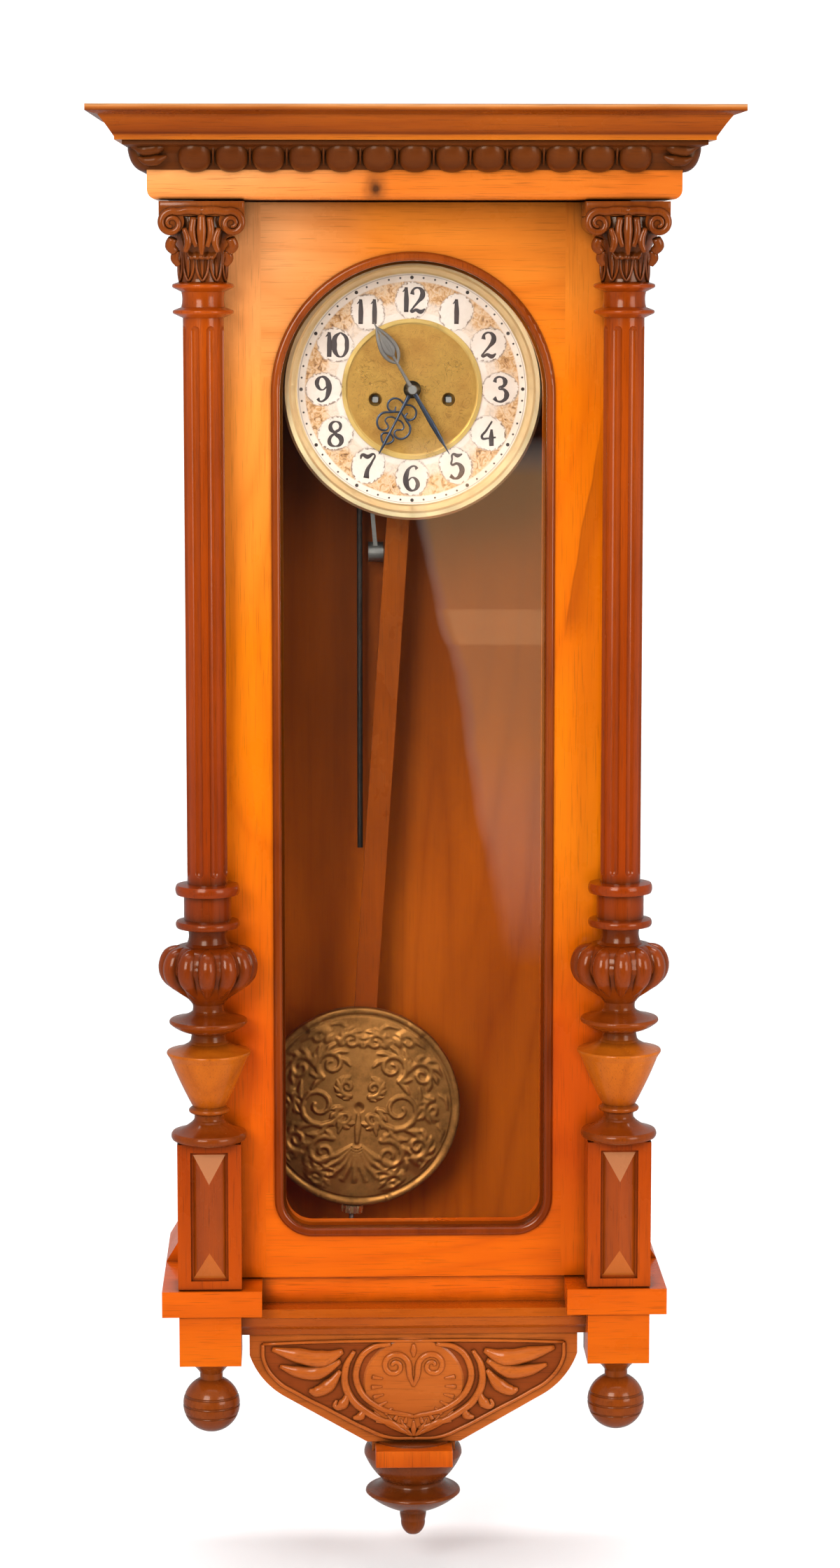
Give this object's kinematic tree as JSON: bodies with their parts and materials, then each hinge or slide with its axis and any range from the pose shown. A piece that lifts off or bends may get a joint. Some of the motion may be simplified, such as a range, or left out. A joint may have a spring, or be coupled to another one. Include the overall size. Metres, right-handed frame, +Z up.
{
  "type": "pendulum wall clock",
  "caption": "Tall glazed wall clock with a carved cornice, turned columns on its door, a round dial, a winding movement and a swinging pendulum.",
  "frame": {"origin": "centre of the hole in the hanger plate, on the wall", "axes": "+Z up, +Y into the wall, +X to the right as seen from the front; the dial faces -Y"},
  "size_m": [0.488, 0.2478, 1.1275],
  "materials": {
    "case_wood": "satin varnish",
    "cornice_wood": "gloss varnish",
    "carved_wood": "gloss varnish",
    "base_wood": "gloss varnish",
    "turned_wood": "gloss varnish",
    "door_wood": "gloss varnish",
    "pedestal_wood": "gloss varnish",
    "glass": "clear",
    "dial_white": "white enamel",
    "brass": "polished",
    "bob_brass": "embossed, dull",
    "rod_wood": "satin varnish",
    "blued_steel": "blued",
    "steel": "plain",
    "iron": "black"
  },
  "bodies": {
    "case": {"back_board": "case_wood", "side_panel_left": "case_wood", "side_panel_right": "case_wood", "bottom_board": "case_wood", "head_boards": "case_wood", "crown_moulding": "cornice_wood", "egg_moulding": "carved_wood", "frieze": "cornice_wood", "plinth_left": "base_wood", "plinth_right": "base_wood", "side_mouldings": "case_wood", "drop_block_left": "base_wood", "drop_block_right": "base_wood", "drop_ball_left": "turned_wood", "drop_ball_right": "turned_wood", "base_rail": "case_wood", "base_moulding": "base_wood", "apron_board": "base_wood", "centre_finial": "turned_wood", "hinge_case_leaves": "brass", "case_screws": "steel", "hanger_plate": "steel", "gong_block": "case_wood", "gong_rod": "steel", "movement_bracket": "iron", "front_plate": "brass", "back_plate": "brass", "suspension_cock": "brass", "dial_centre": "brass", "dial_ring": "dial_white", "bezel": "brass"},
    "door": {"door_frame": "door_wood", "door_glass": "glass", "door_bead": "turned_wood", "capital_left": "turned_wood", "capital_right": "turned_wood", "column_left": "turned_wood", "column_right": "turned_wood", "pedestal_left": "pedestal_wood", "pedestal_right": "pedestal_wood", "pedestal_panels": "pedestal_wood", "door_fittings": "brass"},
    "hook": {"door_hook": "brass"},
    "pendulum": {"pendulum_rod": "rod_wood", "suspension_strap": "steel", "pendulum_bob": "bob_brass", "rating_screw": "steel"},
    "rating_nut": {"rating_nut": "brass"},
    "anchor": {"anchor_and_crutch": "steel"},
    "hour_hand": {"hour_hand": "blued_steel"},
    "minute_hand": {"minute_hand": "blued_steel", "centre_arbor": "brass"},
    "motion_wheel": {"motion_wheel": "brass"},
    "third_wheel": {"third_wheel": "brass"},
    "escape_wheel": {"escape_wheel": "brass"},
    "time_barrel": {"time_barrel": "brass"},
    "strike_barrel": {"strike_barrel": "brass"},
    "time_winding": {"time_winding_arbor": "steel"},
    "strike_winding": {"strike_winding_arbor": "steel"},
    "hammer": {"strike_hammer": "steel"}
  },
  "joints": [
    {"name": "door_swing", "type": "hinge", "parent": "case", "child": "door", "pos_m": [0.172, -0.126, -0.45], "axis": [0, 0, 1], "range_deg": [0, 100]},
    {"name": "door_hook", "type": "hinge", "parent": "case", "child": "hook", "pos_m": [-0.168, -0.116, -0.4502], "axis": [1, 0, 0], "range_deg": [-90, 0]},
    {"name": "pendulum_swing", "type": "hinge", "parent": "case", "child": "pendulum", "pos_m": [0, -0.044, -0.133], "axis": [0, -1, 0], "range_deg": [-1.7, 9.4]},
    {"name": "anchor_rock", "type": "hinge", "parent": "case", "child": "anchor", "pos_m": [0, -0.07, -0.133], "axis": [0, -1, 0], "range_deg": [-1.7, 9.4]},
    {"name": "rating_nut_turn", "type": "hinge", "parent": "pendulum", "child": "rating_nut", "pos_m": [-0.04744, -0.044, -0.83791], "axis": [0.0671, 0, 0.9977], "continuous": true},
    {"name": "minute_hand_turn", "type": "hinge", "parent": "case", "child": "minute_hand", "pos_m": [0, -0.07, -0.1705], "axis": [0, 1, 0], "continuous": true},
    {"name": "motion_wheel_turn", "type": "hinge", "parent": "case", "child": "motion_wheel", "pos_m": [0, -0.098, -0.15428], "axis": [0, 1, 0], "continuous": true},
    {"name": "hour_hand_turn", "type": "hinge", "parent": "case", "child": "hour_hand", "pos_m": [0, -0.11, -0.1705], "axis": [0, 1, 0], "continuous": true},
    {"name": "third_wheel_turn", "type": "hinge", "parent": "case", "child": "third_wheel", "pos_m": [0.01106, -0.07, -0.15134], "axis": [0, 1, 0], "continuous": true},
    {"name": "escape_wheel_turn", "type": "hinge", "parent": "case", "child": "escape_wheel", "pos_m": [-0.00782, -0.07, -0.14832], "axis": [0, 1, 0], "continuous": true},
    {"name": "time_barrel_turn", "type": "hinge", "parent": "case", "child": "time_barrel", "pos_m": [0.0285, -0.07, -0.1785], "axis": [0, 1, 0], "continuous": true},
    {"name": "strike_barrel_turn", "type": "hinge", "parent": "case", "child": "strike_barrel", "pos_m": [-0.0285, -0.07, -0.1785], "axis": [0, 1, 0], "continuous": true},
    {"name": "time_winding_turn", "type": "hinge", "parent": "case", "child": "time_winding", "pos_m": [0.0285, -0.095, -0.1785], "axis": [0, 1, 0], "continuous": true},
    {"name": "strike_winding_turn", "type": "hinge", "parent": "case", "child": "strike_winding", "pos_m": [-0.0285, -0.095, -0.1785], "axis": [0, 1, 0], "continuous": true},
    {"name": "hammer_swing", "type": "hinge", "parent": "case", "child": "hammer", "pos_m": [-0.034, -0.06, -0.222], "axis": [0, -1, 0], "range_deg": [0, 14], "stiffness_Nm_per_rad": 0.05}
  ],
  "couplings": [
    {"joint": "anchor_rock", "follows": "pendulum_swing", "ratio": 1},
    {"joint": "motion_wheel_turn", "follows": "minute_hand_turn", "ratio": -0.33333},
    {"joint": "hour_hand_turn", "follows": "minute_hand_turn", "ratio": 0.083333},
    {"joint": "third_wheel_turn", "follows": "minute_hand_turn", "ratio": -9},
    {"joint": "escape_wheel_turn", "follows": "minute_hand_turn", "ratio": 76.5},
    {"joint": "time_barrel_turn", "follows": "minute_hand_turn", "ratio": -0.1}
  ]
}
